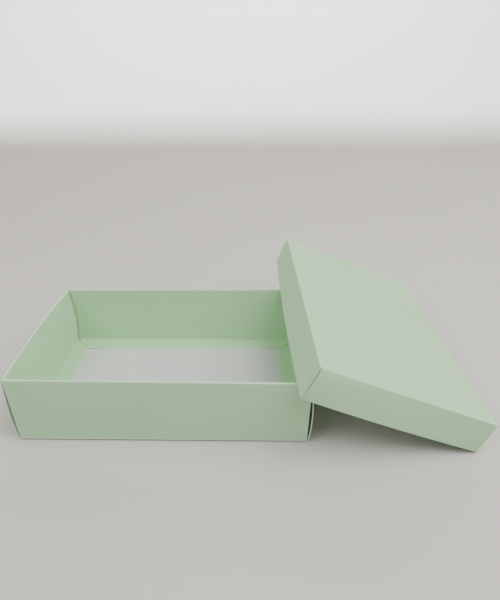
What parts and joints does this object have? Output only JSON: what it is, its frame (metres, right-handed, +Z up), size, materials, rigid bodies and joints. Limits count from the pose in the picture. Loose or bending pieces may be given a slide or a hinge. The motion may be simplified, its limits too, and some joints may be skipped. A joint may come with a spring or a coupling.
{
  "type": "gift box",
  "caption": "Two-piece folding-card gift box: an open rectangular tray with roll-over walls, and its shallow lid leaning on the tray's edge.",
  "frame": {"origin": "centre of the base tray's underside, on the surface that the box stands on", "axes": "+X along the base's length towards the side that the lid leans on, +Y across it from front to back, +Z up"},
  "size_m": [0.3859, 0.253, 0.088],
  "materials": {
    "mint_card": "matte",
    "white_reverse_card": "matte"
  },
  "bodies": {
    "base_tray": {"base_floor": "white_reverse_card", "base_front_outer": "mint_card", "base_front_left_tab": "mint_card", "base_front_right_tab": "mint_card", "base_right_outer": "mint_card", "base_back_outer": "mint_card", "base_back_right_tab": "mint_card", "base_back_left_tab": "mint_card", "base_left_outer": "mint_card"},
    "lid_tray": {"lid_top": "mint_card", "lid_front_outer": "mint_card", "lid_front_left_tab": "mint_card", "lid_front_right_tab": "mint_card", "lid_right_outer": "mint_card", "lid_back_outer": "mint_card", "lid_back_right_tab": "mint_card", "lid_back_left_tab": "mint_card", "lid_left_outer": "mint_card"},
    "base_front_inner_wall": {"base_front_inner": "mint_card"},
    "base_front_floor_flange": {"base_front_flange": "mint_card"},
    "base_right_inner_wall": {"base_right_inner": "mint_card"},
    "base_right_floor_flange": {"base_right_flange": "mint_card"},
    "base_back_inner_wall": {"base_back_inner": "mint_card"},
    "base_back_floor_flange": {"base_back_flange": "mint_card"},
    "base_left_inner_wall": {"base_left_inner": "mint_card"},
    "base_left_floor_flange": {"base_left_flange": "mint_card"},
    "lid_front_inner_wall": {"lid_front_inner": "mint_card"},
    "lid_front_top_flange": {"lid_front_flange": "mint_card"},
    "lid_right_inner_wall": {"lid_right_inner": "mint_card"},
    "lid_right_top_flange": {"lid_right_flange": "mint_card"},
    "lid_back_inner_wall": {"lid_back_inner": "mint_card"},
    "lid_back_top_flange": {"lid_back_flange": "mint_card"},
    "lid_left_inner_wall": {"lid_left_inner": "mint_card"},
    "lid_left_top_flange": {"lid_left_flange": "mint_card"}
  },
  "joints": [
    {"name": "base_front_inner_swing", "type": "hinge", "parent": "base_tray", "child": "base_front_inner_wall", "pos_m": [0, -0.074, 0.059], "axis": [-1, 0, 0], "range_deg": [-75, 0]},
    {"name": "base_front_flange_fold", "type": "hinge", "parent": "base_front_inner_wall", "child": "base_front_floor_flange", "pos_m": [0, -0.073, 0.00125], "axis": [-1, 0, 0], "range_deg": [-80, 0]},
    {"name": "base_right_inner_swing", "type": "hinge", "parent": "base_tray", "child": "base_right_inner_wall", "pos_m": [0.119, 0, 0.059], "axis": [0, 1, 0], "range_deg": [0, 75]},
    {"name": "base_right_flange_fold", "type": "hinge", "parent": "base_right_inner_wall", "child": "base_right_floor_flange", "pos_m": [0.118, 0, 0.00125], "axis": [0, 1, 0], "range_deg": [0, 80]},
    {"name": "base_back_inner_swing", "type": "hinge", "parent": "base_tray", "child": "base_back_inner_wall", "pos_m": [0, 0.074, 0.059], "axis": [1, 0, 0], "range_deg": [-75, 0]},
    {"name": "base_back_flange_fold", "type": "hinge", "parent": "base_back_inner_wall", "child": "base_back_floor_flange", "pos_m": [0, 0.073, 0.00125], "axis": [1, 0, 0], "range_deg": [-80, 0]},
    {"name": "base_left_inner_swing", "type": "hinge", "parent": "base_tray", "child": "base_left_inner_wall", "pos_m": [-0.119, 0, 0.059], "axis": [0, -1, 0], "range_deg": [0, 175]},
    {"name": "base_left_flange_fold", "type": "hinge", "parent": "base_left_inner_wall", "child": "base_left_floor_flange", "pos_m": [-0.118, 0, 0.00125], "axis": [0, -1, 0], "range_deg": [0, 80]},
    {"name": "lid_lift", "type": "slide", "parent": "base_tray", "child": "lid_tray", "axis": [0, 0, 1], "range_m": [0, 0.1]},
    {"name": "lid_front_inner_swing", "type": "hinge", "parent": "lid_tray", "child": "lid_front_inner_wall", "pos_m": [0.10669, 0.02789, 0.06105], "axis": [0.0541, -0.9985, 0], "range_deg": [-50, 0]},
    {"name": "lid_front_flange_fold", "type": "hinge", "parent": "lid_front_inner_wall", "child": "lid_front_top_flange", "pos_m": [0.11847, 0.02853, 0.08619], "axis": [0.0541, -0.9985, 0], "range_deg": [-80, 0]},
    {"name": "lid_right_inner_swing", "type": "hinge", "parent": "lid_tray", "child": "lid_right_inner_wall", "pos_m": [0.17038, 0.15302, 0.03105], "axis": [0.9186, 0.0497, -0.3922], "range_deg": [0, 50]},
    {"name": "lid_right_flange_fold", "type": "hinge", "parent": "lid_right_inner_wall", "child": "lid_right_top_flange", "pos_m": [0.1813, 0.15261, 0.05658], "axis": [0.9186, 0.0497, -0.3922], "range_deg": [0, 80]},
    {"name": "lid_back_inner_swing", "type": "hinge", "parent": "lid_tray", "child": "lid_back_inner_wall", "pos_m": [0.24722, 0.0355, 0.00105], "axis": [-0.0541, 0.9985, 0], "range_deg": [-50, 0]},
    {"name": "lid_back_flange_fold", "type": "hinge", "parent": "lid_back_inner_wall", "child": "lid_back_top_flange", "pos_m": [0.25717, 0.03604, 0.02697], "axis": [-0.0541, 0.9985, 0], "range_deg": [-80, 0]},
    {"name": "lid_left_inner_swing", "type": "hinge", "parent": "lid_tray", "child": "lid_left_inner_wall", "pos_m": [0.18353, -0.08962, 0.03105], "axis": [-0.9186, -0.0497, 0.3922], "range_deg": [0, 50]},
    {"name": "lid_left_flange_fold", "type": "hinge", "parent": "lid_left_inner_wall", "child": "lid_left_top_flange", "pos_m": [0.19434, -0.08804, 0.05658], "axis": [-0.9186, -0.0497, 0.3922], "range_deg": [0, 80]}
  ]
}
